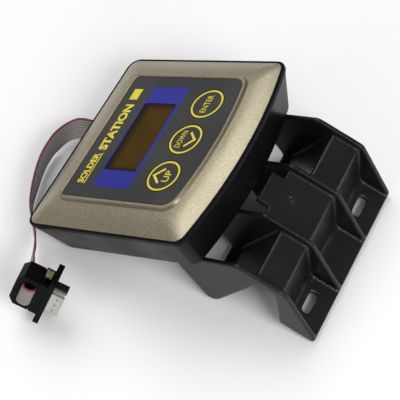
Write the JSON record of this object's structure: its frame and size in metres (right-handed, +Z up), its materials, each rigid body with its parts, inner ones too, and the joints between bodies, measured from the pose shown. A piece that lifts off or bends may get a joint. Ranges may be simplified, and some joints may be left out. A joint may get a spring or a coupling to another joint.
{
  "type": "soldering station control head",
  "caption": "Keypad and display head of a soldering station, in a black case on a ribbed slotted bracket, with a ribbon lead to a D connector.",
  "frame": {"origin": "centre of the head's and bracket's footprint, at the plane they lie on", "axes": "+Z up, +Y from the bracket's flange to the top of the panel, +X to the panel's right"},
  "size_m": [0.1389, 0.1552, 0.0626],
  "materials": {
    "silver_paint": "satin champagne silver with a fine grain",
    "printed_film": "matt printed film",
    "amber_window": "clear tinted window, polished",
    "display_glass": "polished cell",
    "white_diffuser": "diffuser",
    "plated_steel": "plated sheet",
    "board_laminate": "lacquered glass laminate",
    "component_plastic": "moulded",
    "aluminium_can": "drawn can",
    "screw_steel": "zinc plated",
    "case_plastic": "fine satin texture",
    "bracket_plastic": "fine matt texture",
    "ribbon_insulation": "ribbed flat cable, grey with a dark red edge conductor",
    "connector_plastic": "moulded",
    "tinned_shell": "tin plated",
    "insert_brass": "plated brass",
    "contact_gold": "gold flashed"
  },
  "bodies": {
    "head": {"front_bezel": "silver_paint", "keypad_label": "printed_film", "display_window": "amber_window", "display_glass": "display_glass", "display_backlight": "white_diffuser", "display_frame": "plated_steel", "main_board": "board_laminate", "processor_chip": "component_plastic", "timing_crystal": "plated_steel", "smoothing_capacitor": "aluminium_can", "buzzer": "component_plastic", "ribbon_header": "component_plastic", "ribbon_socket": "component_plastic", "switch_body_up": "component_plastic", "switch_body_down": "component_plastic", "switch_body_enter": "component_plastic", "board_screw_1": "screw_steel", "board_screw_2": "screw_steel", "board_screw_3": "screw_steel", "board_screw_4": "screw_steel", "rear_case": "case_plastic", "case_screw_1": "screw_steel", "case_screw_2": "screw_steel", "case_screw_3": "screw_steel", "case_screw_4": "screw_steel", "mounting_bracket": "bracket_plastic", "bracket_screw_1": "screw_steel", "bracket_screw_2": "screw_steel", "bracket_screw_3": "screw_steel", "bracket_screw_4": "screw_steel", "ribbon_cable": "ribbon_insulation", "ribbon_loop": "ribbon_insulation", "connector_body": "connector_plastic", "connector_shell": "tinned_shell", "connector_insulator": "connector_plastic", "connector_hood": "connector_plastic", "threaded_insert_1": "insert_brass", "threaded_insert_2": "insert_brass", "contact_pin_1": "contact_gold", "contact_pin_2": "contact_gold", "contact_pin_3": "contact_gold", "contact_pin_4": "contact_gold", "contact_pin_5": "contact_gold", "contact_pin_6": "contact_gold", "contact_pin_7": "contact_gold", "contact_pin_8": "contact_gold", "contact_pin_9": "contact_gold"},
    "key_up": {"key_up": "printed_film", "switch_plunger_up": "component_plastic"},
    "key_down": {"key_down": "printed_film", "switch_plunger_down": "component_plastic"},
    "key_enter": {"key_enter": "printed_film", "switch_plunger_enter": "component_plastic"}
  },
  "joints": [
    {"name": "key_up_press", "type": "slide", "parent": "head", "child": "key_up", "axis": [0, -0.4631, -0.8863], "range_m": [0, 0.0004], "stiffness_N_per_m": 3000},
    {"name": "key_down_press", "type": "slide", "parent": "head", "child": "key_down", "axis": [0, -0.4631, -0.8863], "range_m": [0, 0.0004], "stiffness_N_per_m": 3000},
    {"name": "key_enter_press", "type": "slide", "parent": "head", "child": "key_enter", "axis": [0, -0.4631, -0.8863], "range_m": [0, 0.0004], "stiffness_N_per_m": 3000}
  ]
}
